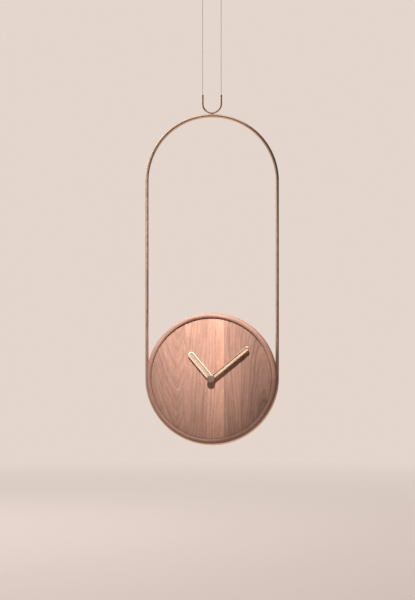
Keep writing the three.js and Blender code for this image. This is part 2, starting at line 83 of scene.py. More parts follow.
ROD_R = size("frame_leg_left").y / 2
LOOP_R = box("frame_arch")[1].x - ROD_R
ARCH_Z = box("frame_arch")[0].z
DRUM_Z = box("frame_cradle")[1].z
LOOP_TOP_Z = box("frame_arch")[1].z
DRUM_LOW, DRUM_HIGH = box("case_ring")
DRUM_R = size("case_ring").x / 2
DIAL_LOW, DIAL_HIGH = box("dial")
DIAL_R = size("dial").x / 2
DIAL_Y = DIAL_LOW.y
HANGER_ROD_R = size("u_hanger").y / 2
CABLE_X = box("u_hanger")[1].x - HANGER_ROD_R
SIDES = (("left", -1), ("right", 1))


# ------------------------ camera, light, floor

CAMERA_DISTANCE = 4.2
CAMERA_TURN = math.radians(5)  # towards the clock's right-hand side
LEFT_OF_LOOP = 9.8 * MM  # the picture's middle, from the middle of the loop
BELOW_LOOP = 45.4 * MM
VIEW_HEIGHT = 1341 * MM  # from the picture's foot to its top, at the clock
SENSOR = 36.0


def camera():
    data = bpy.data.cameras.new("camera")
    eye = bpy.data.objects.new("camera", data)
    bpy.context.collection.objects.link(eye)
    loop_middle = (LOOP_TOP_Z + box("frame_cradle")[0].z) / 2
    target = Vector((-LEFT_OF_LOOP, 0, loop_middle - BELOW_LOOP))
    away = Vector((math.sin(CAMERA_TURN), -math.cos(CAMERA_TURN), 0))
    eye.location = target + CAMERA_DISTANCE * away
    eye.rotation_euler = (math.pi / 2, 0, CAMERA_TURN)
    data.sensor_width = SENSOR
    data.lens = SENSOR * CAMERA_DISTANCE / VIEW_HEIGHT
    bpy.context.scene.camera = eye


camera()


def lamp(name, kind, place, aim, power, colour=(1, 1, 1)):
    """A lamp that the camera doesn't see. Returns its data."""
    data = bpy.data.lights.new(name, kind)
    data.energy = power
    data.color = colour
    made = bpy.data.objects.new(name, data)
    bpy.context.collection.objects.link(made)
    made.visible_camera = False
    made.location = place
    made.rotation_euler = (aim - place).to_track_quat("-Z", "Y").to_euler()
    return data


def soft_box(name, place, aim, width, height, power):
    data = lamp(name, "AREA", place, aim, power)
    data.shape = "RECTANGLE"
    data.size = width
    data.size_y = height


def lights():
    """A key from straight above and in front, a soft box overhead and weak soft fills."""
    drum = Vector((0, 0, DRUM_Z))
    warm = (1.0, 0.95, 0.91)
    aim = drum + Vector((-0.04, 0, 0.215))
    key = lamp("key", "SPOT", drum + Vector((0, -0.82, 1.0)), aim, 185, warm)
    key.spot_size = math.radians(28.5)
    key.spot_blend = 1.0
    key.shadow_soft_size = 0.035
    soft_box("over", drum + Vector((0, -0.3, 2.4)), drum, 1.8, 1.8, 10)
    soft_box("left", drum + Vector((-2.4, -1.6, 0.9)), drum, 1.4, 1.8, 8)
    soft_box("back", drum + Vector((-1.4, 2.4, 1.4)), drum, 1.6, 1.6, 24)
    return bpy.data.objects["key"]


def leave_dark(lamp_object, thing):
    """Keeps the lamp's light and shadows off one thing."""
    spared = bpy.data.collections.new("spared")
    spared.objects.link(thing)
    spared.collection_objects[0].light_linking.link_state = "EXCLUDE"
    lamp_object.light_linking.receiver_collection = spared


# ------------------------ material graphs


class Nodes:
    """A node tree whose nodes are added by short calls; a socket given as a value is linked."""

    def __init__(self, tree):
        self.tree = tree

    def feed(self, socket, value):
        if isinstance(value, bpy.types.NodeSocket):
            self.tree.links.new(value, socket)
        else:
            socket.default_value = value

    def add(self, kind, inputs, output=0, **settings):
        node = self.tree.nodes.new("ShaderNode" + kind)
        for key, value in settings.items():
            setattr(node, key, value)
        for key, value in inputs.items():
            self.feed(node.inputs[key], value)
        return node.outputs[output]

    def place(self):
        return self.add("TexCoord", {}, output=3)

    def unwrapped(self):
        return self.add("TexCoord", {}, output=2)

    def scaled(self, vector, *scale):
        return self.add("Mapping", {"Vector": vector, "Scale": scale})

    def parts(self, vector):
        node = self.tree.nodes.new("ShaderNodeSeparateXYZ")
        self.feed(node.inputs[0], vector)
        return node.outputs

    def joined(self, x, y, z):
        return self.add("CombineXYZ", {"X": x, "Y": y, "Z": z})

    def maths(self, operation, *values):
        return self.add("Math", dict(enumerate(values)), operation=operation)

    def plus(self, first, second):
        return self.maths("ADD", first, second)

    def times(self, first, second):
        return self.maths("MULTIPLY", first, second)

    def noise(self, vector, scale=1.0, detail=3.0, roughness=0.5, distortion=0.0):
        keys = ("Vector", "Scale", "Detail", "Roughness", "Distortion")
        values = (vector, scale, detail, roughness, distortion)
        return self.add("TexNoise", dict(zip(keys, values, strict=True)))

    def between(self, value, low, high, to_low=0.0, to_high=1.0, **settings):
        keys = ("From Min", "From Max", "To Min", "To Max")
        inputs = dict(zip(keys, (low, high, to_low, to_high), strict=True))
        return self.add("MapRange", {"Value": value, **inputs}, **settings)

    def blend(self, share, first, second):
        inputs = {0: share, 6: first, 7: second}
        return self.add("Mix", inputs, output=2, data_type="RGBA")

    def ramp(self, value, *stops):
        node = self.tree.nodes.new("ShaderNodeValToRGB")
        points = node.color_ramp.elements
        while len(points) < len(stops):
            points.new(0.5)
        for point, (at, colour) in zip(points, stops, strict=True):
            point.position = at
            point.color = colour
        self.feed(node.inputs[0], value)
        return node.outputs[0]


class Graph(Nodes):
    """The nodes of one material."""

    def __init__(self, name, **constants):
        self.material = bpy.data.materials.new(name)
        self.material.use_nodes = True
        super().__init__(self.material.node_tree)
        self.shader = self.tree.nodes["Principled BSDF"]
        for key, value in constants.items():
            self.set(key.replace("_", " "), value)

    def set(self, key, value):
        self.feed(self.shader.inputs[key], value)

    def bump(self, height, depth, strength):
        inputs = {"Height": height, "Distance": depth, "Strength": strength}
        self.set("Normal", self.add("Bump", inputs))


def rgb(red, green, blue):
    return (red, green, blue, 1.0)


def shade(colour, by):
    return rgb(*(part * by for part in colour[:3]))


def walnut(name, colour, grain, roughness=0.5, figure=0.37):
    """Walnut with its grain along Z of the given vector, in metres: fibres, pores and growth rings.

    grain gives the vector, a count of growth rings and how light the wood is.
    """
    g = Graph(name)
    g.set("Specular IOR Level", 0.3)
    vector, rings, tone = grain(g)
    slow = g.noise(g.scaled(vector, 24, 24, 2.4), detail=3.0, roughness=0.6)
    fibre = g.noise(g.scaled(vector, 700, 700, 17), detail=6.0, roughness=0.75)
    pores = g.noise(g.scaled(vector, 2300, 2300, 120), detail=1.0)
    bent = g.noise(g.scaled(vector, 17, 17, 6), detail=3.0)
    curl = g.noise(g.scaled(vector, 60, 60, 22), detail=4.0, roughness=0.6, distortion=0.8)
    years = g.plus(rings, g.times(bent, 5.0))
    _, _, along = g.parts(vector)
    lines = g.noise(g.joined(years, 0.0, 0.0), scale=1.0, detail=4.0, roughness=0.65)
    streaks = g.noise(g.joined(years, 3.0, g.times(along, 4.0)), scale=2.1, detail=4.0)
    mixed = g.times(lines, figure)
    for part, share in ((slow, 0.24), (curl, 0.16), (streaks, 0.24), (fibre, 0.2), (tone, 0.42)):
        mixed = g.plus(mixed, g.times(part, share))
    wood = g.ramp(
        mixed,
        (0.7, shade(colour, 0.5)),
        (0.83, shade(colour, 0.84)),
        (0.92, shade(colour, 1.06)),
        (1.0, rgb(colour[0] * 1.35, colour[1] * 1.32, colour[2] * 1.27)),
    )
    pits = g.between(pores, 0.61, 0.67)
    g.set("Base Color", g.blend(g.times(pits, 0.5), wood, shade(colour, 0.4)))
    g.set("Roughness", g.between(fibre, 0.25, 0.75, roughness - 0.08, roughness + 0.1))
    relief = g.maths("SUBTRACT", g.times(fibre, 0.4), pits)
    g.bump(relief, 0.00006, 0.6)
    return g.material


def metal(name, colour, roughness, vector, streak, wear=0.12):
    """Metal drawn or brushed along one direction of the vector, with faint patina."""
    g = Graph(name, Metallic=1.0)
    coords = vector(g)
    lines = g.noise(g.scaled(coords, *streak), detail=4.0, roughness=0.65)
    cloud = g.noise(g.place(), scale=55.0, detail=4.0)
    spots = g.noise(g.place(), scale=900.0, detail=2.0)
    patina = g.between(cloud, 0.35, 0.75)
    tone = g.blend(g.times(patina, wear * 2.2), colour, shade(colour, 0.72))
    tone = g.blend(g.between(lines, 0.3, 0.7, 0.0, wear), tone, shade(colour, 1.12))
    g.set("Base Color", tone)
    rough = g.between(lines, 0.3, 0.7, roughness - 0.05, roughness + 0.08)
    g.set("Roughness", g.plus(rough, g.times(patina, 0.08)))
    relief = g.plus(lines, g.times(spots, 0.25))
    g.bump(relief, 0.000012, 0.5)
    return g.material


along_u = Graph.unwrapped
in_place = Graph.place


def around_y(g):
    """Distance from the drum's middle and angle about it, for turned faces."""
    x, y, z = g.parts(g.place())
    up = g.maths("SUBTRACT", z, DRUM_Z)
    angle = g.maths("ARCTAN2", up, x)
    radius = g.maths("SQRT", g.plus(g.maths("POWER", x, 2.0), g.maths("POWER", up, 2.0)))
    return g.joined(radius, y, g.times(angle, 0.01))


def ring_grain(g):
    """The grain of a bent ring runs round it: U is the way round and V the way over the lip."""
    u, v, _ = g.parts(g.unwrapped())
    rings = g.plus(g.times(v, 90.0), g.times(u, 3.0))
    return g.joined(v, 0.0, u), rings, 0.5


def board_grain(g):
    """Each board is cut from its own place in the tree, with arches about its own middle.

    The attribute holds the board's middle, its tone and which way its arches open.
    """
    x, y, z = g.parts(g.place())
    centre, tone, way = g.parts(g.add("Attribute", {}, output=1, attribute_name="board"))
    across = g.maths("SUBTRACT", x, centre)
    up = g.maths("SUBTRACT", z, DRUM_Z)
    square = g.maths("POWER", across, 2.0)
    flank = g.times(g.maths("SQRT", g.plus(square, 0.00004)), 150.0)
    bow = g.plus(g.times(square, 1300.0), flank)
    rise = g.times(g.times(up, way), 60.0)
    slope = g.times(across, 24.0)
    rings = g.plus(g.plus(bow, rise), slope)
    shift = g.times(centre, 37.0)
    return g.joined(g.plus(x, shift), y, g.plus(z, shift)), rings, tone


def plastic(name, colour, roughness):
    g = Graph(name)
    fine = g.noise(g.place(), scale=2600.0, detail=3.0)
    cloud = g.noise(g.place(), scale=90.0, detail=3.0)
    tone = g.blend(g.between(cloud, 0.3, 0.7), shade(colour, 0.86), shade(colour, 1.12))
    g.set("Base Color", tone)
    g.set("Roughness", g.between(cloud, 0.3, 0.7, roughness - 0.06, roughness + 0.08))
    g.bump(fine, 0.00003, 0.6)
    return g.material


def plywood():
    """Birch plywood: a veneer face, and plies that show wherever the surface turns off Y."""
    g = Graph("plywood")
    x, y, z = g.parts(g.place())
    vector = g.joined(z, y, x)
    slow = g.noise(g.scaled(vector, 11, 11, 1.6), detail=4.0, distortion=1.6)
    rings = g.noise(g.joined(g.times(slow, 26.0), 0.0, 0.0), detail=3.0)
    fibre = g.noise(g.scaled(vector, 420, 420, 10), detail=5.0, roughness=0.7)
    wide = g.plus(g.times(slow, 0.35), g.times(rings, 0.35))
    mixed = g.plus(wide, g.times(fibre, 0.3))
    light = rgb(0.62, 0.43, 0.26)
    face = g.ramp(mixed, (0.3, shade(light, 0.7)), (0.5, light), (0.7, shade(light, 1.2)))
    ply = g.maths("GREATER_THAN", g.maths("PINGPONG", y, 0.0008), 0.0004)
    edge = g.blend(ply, shade(light, 0.5), shade(light, 0.95))
    _, facing, _ = g.parts(g.add("NewGeometry", {}, output=1))
    flat = g.maths("GREATER_THAN", g.maths("ABSOLUTE", facing), 0.7)
    g.set("Base Color", g.blend(flat, edge, face))
    g.set("Roughness", g.between(fibre, 0.3, 0.7, 0.6, 0.8))
    g.bump(fibre, 0.00005, 0.5)
    return g.material


def felt():
    g = Graph("felt")
    g.set("Sheen Weight", 0.4)
    hairs = g.noise(g.place(), scale=2200.0, detail=5.0, roughness=0.7)
    cloud = g.noise(g.place(), scale=260.0, detail=3.0)
    mixed = g.plus(g.times(hairs, 0.6), g.times(cloud, 0.4))
    dark, light = rgb(0.022, 0.019, 0.018), rgb(0.11, 0.1, 0.095)
    g.set("Base Color", g.ramp(mixed, (0.3, dark), (0.7, light)))
    g.set("Roughness", g.between(cloud, 0.3, 0.7, 0.88, 0.98))
    g.bump(hairs, 0.0003, 0.8)
    return g.material


def battery_sleeve():
    """A generic printed sleeve: a dark band and a coppery band, with no lettering."""
    g = Graph("battery_sleeve", Metallic=0.35)
    x, _, _ = g.parts(g.place())
    scuffs = g.noise(g.scaled(g.place(), 120, 900, 900), detail=4.0)
    band = g.maths("GREATER_THAN", x, 0.012)
    tone = g.blend(band, rgb(0.035, 0.045, 0.06), rgb(0.55, 0.3, 0.14))
    g.set("Base Color", g.blend(g.between(scuffs, 0.66, 0.78, 0.0, 0.3), tone, rgb(0.5, 0.5, 0.5)))
    g.set("Roughness", g.between(scuffs, 0.3, 0.7, 0.28, 0.42))
    g.bump(scuffs, 0.00001, 0.4)
    return g.material


ROSE_BRASS = rgb(0.94, 0.67, 0.49)
# Painted shade: the minute hand's panel colour is darker than its brass, standing in for the dark
# room it reflects.
PANEL_BRASS_PAINTED_SHADE = rgb(0.78, 0.6, 0.45)
STEEL_GREY = rgb(0.62, 0.62, 0.63)
CASE_WALNUT = rgb(0.36, 0.2, 0.15)
DIAL_WALNUT = rgb(0.38, 0.212, 0.16)

M = {
    "rod": metal("brass_rod", ROSE_BRASS, 0.26, along_u, (14, 3000, 3000), wear=0.06),
    "turned": metal("brass_turned", ROSE_BRASS, 0.28, along_u, (20, 2600, 2600)),
    "milled": metal("brass_milled", ROSE_BRASS, 0.34, in_place, (90, 1500, 1500)),
    # Painted highlight: the hour hand's rim is lighter than the same brass on the minute hand, for
    # how its brushing catches the light.
    "hour": metal("brass_hour_rim_painted_highlight", rgb(0.97, 0.8, 0.66), 0.5, along_u, (40, 2400, 2400)),
    "hour_panel": metal("brass_hour_panel", rgb(0.74, 0.54, 0.41), 0.5, along_u, (40, 1200, 1200)),
    # Painted shade: the minute hand's rim and panel are darkened, standing in for the dark room
    # that its flat brass reflects.
    "minute": metal("brass_minute_rim_painted_shade", rgb(0.66, 0.46, 0.35), 0.4, along_u, (40, 2400, 2400)),
    "minute_panel": metal("brass_minute_panel_painted_shade", PANEL_BRASS_PAINTED_SHADE, 0.55, along_u, (40, 1200, 1200)),
    # Painted reflection: the hub's brass is darkened to a grey-brown, standing in for the dark room
    # its flat face reflects.
    "hub": metal("hub_face_painted_reflection", rgb(0.42, 0.29, 0.25), 0.42, around_y, (3500, 3500, 60)),
    "steel": metal("steel_turned", STEEL_GREY, 0.32, in_place, (700, 700, 700)),
    "zinc": metal("zinc_plated", rgb(0.36, 0.36, 0.37), 0.55, in_place, (260, 260, 260), wear=0.3),
    "cable": metal("steel_cable", rgb(0.7, 0.68, 0.66), 0.35, in_place, (900, 900, 900)),
    "case": walnut("walnut_case", CASE_WALNUT, ring_grain, roughness=0.52, figure=0.42),
    "dial": walnut("walnut_dial", DIAL_WALNUT, board_grain),
    "plywood": plywood(),
    "felt": felt(),
    "housing": plastic("black_housing", rgb(0.022, 0.022, 0.025), 0.45),
    "gear": plastic("gear_plastic", rgb(0.78, 0.75, 0.68), 0.4),
    "knob": plastic("knob_plastic", rgb(0.05, 0.05, 0.055), 0.4),
    "battery": battery_sleeve(),
    "board": plastic("circuit_board", rgb(0.03, 0.14, 0.07), 0.35),
    "copper": metal("copper_winding", rgb(0.7, 0.32, 0.16), 0.35, in_place, (4200, 300, 300)),
    "magnet": metal("sintered_magnet", rgb(0.12, 0.12, 0.13), 0.5, in_place, (800, 800, 800)),
}


# ------------------------ mesh helpers


def piece(name, bm, material, body, slot, *nodes, sharp=35, merge=True):
    """Makes a piece of a bmesh, rides it on its body and lets it stand for its CAD nodes."""
    if merge:
        bmesh.ops.remove_doubles(bm, verts=bm.verts, dist=1e-7)
    bmesh.ops.recalc_face_normals(bm, faces=bm.faces)
    mesh = bpy.data.meshes.new(name)
    bm.to_mesh(mesh)
    bm.free()
    mesh.shade_smooth()
    mesh.set_sharp_from_angle(angle=math.radians(sharp))
    mesh.materials.append(M[material])
    made = bpy.data.objects.new(name, mesh)
    bpy.context.collection.objects.link(made)
    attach(made, body)
    if nodes:
        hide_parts(*nodes)
    return made


def skin(bm, rows, around, closed_rows=False, uv=None):
    """Quads over a grid of vertices; a row of one vertex is a pole. uv(i, j) gives each corner."""
    layer = bm.loops.layers.uv.verify()
    count = len(rows)
    for i in range(count if closed_rows else count - 1):
        lower, upper = rows[i], rows[(i + 1) % count]
        for j in range(around):
            k = (j + 1) % around
            corners = [(lower[j % len(lower)], i, j), (lower[k % len(lower)], i, j + 1)]
            corners += [(upper[k % len(upper)], i + 1, j + 1), (upper[j % len(upper)], i + 1, j)]
            used, marks = [], []
            for vertex, row, column in corners:
                if vertex not in used:
                    used.append(vertex)
                    marks.append((row, column))
            if len(used) < 3:
                continue
            face = bm.faces.new(used)
            if uv:
                for loop, mark in zip(face.loops, marks, strict=True):
                    loop[layer].uv = uv(*mark)


def lathe(profile, segments, place, wobble=None):
    """A turned solid: profile is (radius, height) pairs, place(angle, radius, height) a point."""
    bm = bmesh.new()
    rows, travelled = [], [0.0]
    for (r0, h0), (r1, h1) in zip(profile, profile[1:] + profile[:1], strict=True):
        travelled.append(travelled[-1] + math.hypot(r1 - r0, h1 - h0))
    for radius, height in profile:
        if radius < 1e-7:
            rows.append([bm.verts.new(place(0.0, 0.0, height))])
            continue
        row = []
        for j in range(segments):
            angle = TURN * j / segments
            r = radius + (wobble(angle, radius, height) if wobble else 0.0)
            row.append(bm.verts.new(place(angle, r, height)))
        rows.append(row)
    open_ends = len(rows[0]) == 1 and len(rows[-1]) == 1
    around = max(radius for radius, _ in profile)
    skin(
        bm,
        rows,
        segments,
        closed_rows=not open_ends,
        uv=lambda i, j: (TURN * around * j / segments, travelled[i]),
    )
    return bm


def cylinder(radius, low, high, segments, place):
    return lathe([(0, low), (radius, low), (radius, high), (0, high)], segments, place)


def about_y(x=0.0, z=DRUM_Z):
    return lambda a, r, h: Vector((x + r * math.cos(a), h, z + r * math.sin(a)))


def about_z(x=0.0):
    return lambda a, r, h: Vector((x + r * math.cos(a), r * math.sin(a), h))


def about_x(y, z):
    return lambda a, r, h: Vector((h, y + r * math.cos(a), z + r * math.sin(a)))


def rounded(profile, radius, steps=4):
    """The profile with a soft arc at each corner that has a third value, a share of the radius."""
    out = []
    count = len(profile)
    for i, point in enumerate(profile):
        here = Vector(point[:2])
        if len(point) < 3:
            out.append(tuple(here))
            continue
        before = Vector(profile[i - 1][:2]) - here
        after = Vector(profile[(i + 1) % count][:2]) - here
        reach = min(point[2] * radius, before.length * 0.49, after.length * 0.49)
        start = here + before.normalized() * reach
        end = here + after.normalized() * reach
        for k in range(steps + 1):
            t = k / steps
            out.append(tuple(start * (1 - t) ** 2 + here * 2 * t * (1 - t) + end * t**2))
    return out


def sweep(centres, radius, sides, closed=False):
    """A round rod along points in a plane across Y, with U along it and V round it, in metres."""
    bm = bmesh.new()
    rows, travelled = [], [0.0]
    count = len(centres)
    for i, centre in enumerate(centres):
        before = centres[i - 1] if closed or i else centre
        after = centres[(i + 1) % count] if closed or i + 1 < count else centre
        along = (after - before).normalized()
        side = along.cross(Vector((0, 1, 0))).normalized()
        row = []
        for j in range(sides):
            a = TURN * j / sides
            out = math.cos(a) * side + math.sin(a) * Vector((0, 1, 0))
            row.append(bm.verts.new(centre + radius * out))
        rows.append(row)
        travelled.append(travelled[-1] + (after - centre).length)

    def uv(i, j):
        return (travelled[i], TURN * ROD_R * j / sides)

    skin(bm, rows, sides, closed_rows=closed, uv=uv)
    if not closed:
        bm.faces.new(rows[0])
        bm.faces.new(rows[-1])
    return bm


def arc_points(radius, z, start, end, steps):
    angles = [start + (end - start) * i / steps for i in range(steps + 1)]
    return [Vector((radius * math.cos(a), 0, z + radius * math.sin(a))) for a in angles]


def line_points(first, last, steps):
    return [first.lerp(last, i / steps) for i in range(steps + 1)]


def block(low, high, bevel, segments=3):
    """A box with rounded edges."""
    bm = bmesh.new()
    bmesh.ops.create_cube(bm, size=1.0)
    low, high = Vector(low), Vector(high)
    for v in bm.verts:
        v.co = Vector(low[k] + (v.co[k] + 0.5) * (high[k] - low[k]) for k in range(3))
    if bevel:
        edges = bm.edges[:]
        soften = {"offset": bevel, "segments": segments, "profile": 0.5}
        bmesh.ops.bevel(bm, geom=edges, affect="EDGES", **soften)
    return bm


def merged(first, *others):
    """One bmesh of several."""
    for other in others:
        spare = bpy.data.meshes.new("spare")
        other.to_mesh(spare)
        other.free()
        first.from_mesh(spare)
        bpy.data.meshes.remove(spare)
    return first


def carved(body, tools, operation="DIFFERENCE"):
    """The body's bmesh with each tool's bmesh cut away from it, or joined to it."""
    mesh = bpy.data.meshes.new("carved")
    body.to_mesh(mesh)
    body.free()
    target = bpy.data.objects.new("carved", mesh)
    bpy.context.collection.objects.link(target)
    for tool in tools:
        tool_mesh = bpy.data.meshes.new("tool")
        bmesh.ops.recalc_face_normals(tool, faces=tool.faces)
        tool.to_mesh(tool_mesh)
        tool.free()
        cutter = bpy.data.objects.new("tool", tool_mesh)
        bpy.context.collection.objects.link(cutter)
        step = target.modifiers.new("cut", "BOOLEAN")
        step.operation = operation
        step.solver = "EXACT"
        step.object = cutter
        bpy.context.view_layer.update()
        graph = bpy.context.evaluated_depsgraph_get()
        solid = bpy.data.meshes.new_from_object(target.evaluated_get(graph))
        target.modifiers.clear()
        target.data = solid
        bpy.data.objects.remove(cutter)
    out = bmesh.new()
    out.from_mesh(target.data)
    bpy.data.objects.remove(target)
    return out


# ------------------------ cables

CABLE_R = 0.5 * MM
STRANDS = 6
STRAND_R = 0.17 * MM
STRAND_SIDES = 6
LAY_LENGTH = 9 * MM
CABLE_STEPS = 200


def stranded(low, high, x):
    """Six strands twisted round a core, as one mesh."""
    bm = bmesh.new()
    core_r = CABLE_R - STRAND_R
    for strand in range(STRANDS):
        rows = []
        for i in range(CABLE_STEPS + 1):
            z = low + (high - low) * i / CABLE_STEPS
            turn = TURN * ((z - low) / LAY_LENGTH + strand / STRANDS)
            centre = Vector((x + core_r * math.cos(turn), core_r * math.sin(turn), z))
            row = []
            for j in range(STRAND_SIDES):
                a = turn + TURN * j / STRAND_SIDES
                out = Vector((math.cos(a), math.sin(a), 0))
                row.append(bm.verts.new(centre + STRAND_R * out))
            rows.append(row)
        skin(bm, rows, STRAND_SIDES)
        bm.faces.new(rows[0])
        bm.faces.new(rows[-1])
    return bm


def cables():
    for name, side in SIDES:
        node = f"cable_{name}"
        low, high = box(node)
        x = side * CABLE_X
        bm = stranded(low.z, high.z, x)
        body = f"{name}_cable"
        rope = piece(f"cable_rope_{name}", bm, "cable", body, "steel", node, merge=False)


cables()


# ------------------------ ceiling fitting


CUT_PAST = 10 * MM  # how far a cutter reaches past the small pieces here
CANOPY_HOLE_R = 4.3 * MM


def fitting(name, bm, material, slot, node):
    """Makes a piece of the ceiling fitting."""
    piece(name, bm, material, "ceiling_fitting", slot, node)


def canopy():
    low, high = box("canopy_cup")
    r = size("canopy_cup").x / 2
    wall = 1.2 * MM
    cup = [
        (CANOPY_HOLE_R, low.z),
        (r * 0.8, low.z, 1.0),
        (r, low.z + 9 * MM, 1.3),
        (r, high.z, 0.1),
        (r - wall, high.z, 0.1),
        (r - wall, low.z + 9.4 * MM, 1.2),
        (r * 0.8 - wall / 2, low.z + wall, 0.9),
        (CANOPY_HOLE_R, low.z + wall),
    ]
    bm = lathe(rounded(cup, 6 * MM, 8), 96, about_z())
    fitting("canopy", bm, "turned", "brass_polished", "canopy_cup")


def canopy_nut():
    low, high = box("canopy_nut")
    r = size("canopy_nut").x / 2
    rim = [
        (CANOPY_HOLE_R, low.z),
        (r * 0.86, low.z, 1.0),
        *((r, low.z + rise * MM) for rise in (1.0, 1.6, 2.2, 2.8)),
        (r, high.z - MM),
        (r * 0.86, high.z, 1.0),
        (CANOPY_HOLE_R, high.z),
    ]

    def knurl(angle, radius, height):
        if radius < r * 0.99:
            return 0.0
        level = (height - low.z) / MM
        return -0.22 * MM * (1 + math.cos(48 * angle + level * 2.2)) / 2

    bm = lathe(rounded(rim, 0.5 * MM, 2), 192, about_z(), knurl)
    fitting("canopy_knurled_nut", bm, "turned", "brass_polished", "canopy_nut")


def hanger_fork():
    """The stem with the slotted head that takes the spreader's lug."""
    low, high = box("hanger_fork")
    stem_r = 4 * MM
    head_top = low.z + 11.5 * MM
    foot = head_top - MM
    stem_profile = [(0, foot), (stem_r, foot), (stem_r, high.z, 0.5), (0, high.z)]
    stem = lathe(rounded(stem_profile, MM), 48, about_z())
    head = block((low.x, low.y, low.z), (high.x, high.y, head_top), 0.8 * MM)
    slot_r = 2.9 * MM
    slot_low = (-slot_r, -CUT_PAST, low.z - 2 * MM)
    slot = block(slot_low, (slot_r, CUT_PAST, low.z + 8.5 * MM), 0)
    pin_z = middle("pivot_pin").z
    bore = cylinder(1.7 * MM, -CUT_PAST, CUT_PAST, 32, about_x(0, pin_z))
    bm = merged(stem, carved(head, [slot, bore]))
    fitting("hanger_fork_milled", bm, "milled", "brass_polished", "hanger_fork")


def pivot_pin():
    """The headed pin, with the groove for its clip."""
    low, high = box("pivot_pin")
    shank, head_r = 1.5 * MM, size("pivot_pin").y / 2
    profile = [
        (0, low.x),
        (shank, low.x, 1.0),
        (shank, low.x + 0.5 * MM),
        (shank - 0.25 * MM, low.x + 0.5 * MM),
        (shank - 0.25 * MM, low.x + 1.25 * MM),
        (shank, low.x + 1.25 * MM),
        (shank, high.x - 1.2 * MM),
        (head_r, high.x - 1.2 * MM, 0.6),
        (head_r, high.x, 1.6),
        (0, high.x),
    ]
    bm = lathe(rounded(profile, 0.4 * MM), 32, about_x(0, middle("pivot_pin").z))
    fitting("pivot_pin_turned", bm, "steel", "steel", "pivot_pin")


def pin_clip():
    """An open ring with three lobes that grip the pin's groove."""
    low, high = box("pin_clip")
    pin_z = middle("pivot_pin").z
    clip_r, gap = size("pin_clip").y / 2, math.radians(38)
    bm = bmesh.new()
    loops = []
    steps = 28
    for i in range(steps + 1):
        a = math.pi / 2 + gap + (TURN - 2 * gap) * i / steps
        inner = 1.35 * MM if i % 9 > 2 else 1.75 * MM
        ring = []
        for r, x in ((inner, low.x), (clip_r, low.x), (clip_r, high.x), (inner, high.x)):
            ring.append(bm.verts.new((x, r * math.cos(a), pin_z + r * math.sin(a))))
        loops.append(ring)
    skin(bm, loops, 4)
    bm.faces.new(loops[0])
    bm.faces.new(loops[-1])
    bmesh.ops.bevel(bm, geom=bm.edges[:], offset=0.06 * MM, segments=1, affect="EDGES")
    fitting("pin_clip_spring", bm, "steel", "steel", "pin_clip")


def ceiling_plate():
    """The plate behind the canopy, with two countersunk holes."""
    low, high = box("ceiling_plate")
    r = size("ceiling_plate").x / 2
    base = [(0, low.z), (r, low.z, 1.0), (r, high.z, 0.4), (0, high.z)]
    holes = []
    for side in (-1, 1):
        tool = [(0, low.z - MM), (4.3 * MM, low.z - MM), (2.2 * MM, low.z + 1.4 * MM)]
        tool += [(2.2 * MM, high.z + MM), (0, high.z + MM)]
        holes.append(lathe(tool, 32, about_z(side * 19 * MM)))
    bm = carved(lathe(rounded(base, 0.6 * MM), 72, about_z()), holes)
    fitting("ceiling_plate_steel", bm, "zinc", "steel", "ceiling_plate")


def spreader():
    low, high = box("spreader_bar")
    bar_top = low.z + 6 * MM
    bar = block((low.x, low.y, low.z), (high.x, high.y, bar_top), 1.1 * MM, 4)
    lug = block((-2.6 * MM, -3.5 * MM, bar_top - 2 * MM), (2.6 * MM, 3.5 * MM, high.z), 0.6 * MM)
    pin_z = middle("pivot_pin").z
    tools = [cylinder(1.75 * MM, -CUT_PAST, CUT_PAST, 32, about_x(0, pin_z))]
    ball_z = middle("cable_ball_top_left").z
    for _, side in SIDES:
        seat = [(0, ball_z + 3 * MM), (2.7 * MM, ball_z + 3 * MM), (2.5 * MM, ball_z)]
        seat += [(1.5 * MM, ball_z - 1.9 * MM), (1.5 * MM, low.z + 3.6 * MM)]
        seat += [(2.6 * MM, low.z - MM), (0, low.z - MM)]
        tools.append(lathe(seat, 40, about_z(side * CABLE_X)))
    solid = carved(carved(bar, [lug], "UNION"), tools)
    piece("spreader_milled", solid, "milled", "spreader", "brass_polished", "spreader_bar")


def ball_profile(centre, radius, shank_r, shank_to):
    """A ball with the short shank that is swaged on the cable, or with a flat where it turns."""
    out = [(0, centre + radius)]
    for k in range(1, 15):
        a = math.pi / 2 - k * math.pi / 16
        out.append((radius * math.cos(a), centre + radius * math.sin(a)))
    kept = [p for p in out if p[0] > shank_r or p[1] > centre]
    if shank_to > centre:
        kept = [(r, 2 * centre - h) for r, h in kept]
    return kept + [(shank_r, shank_to), (0, shank_to)]


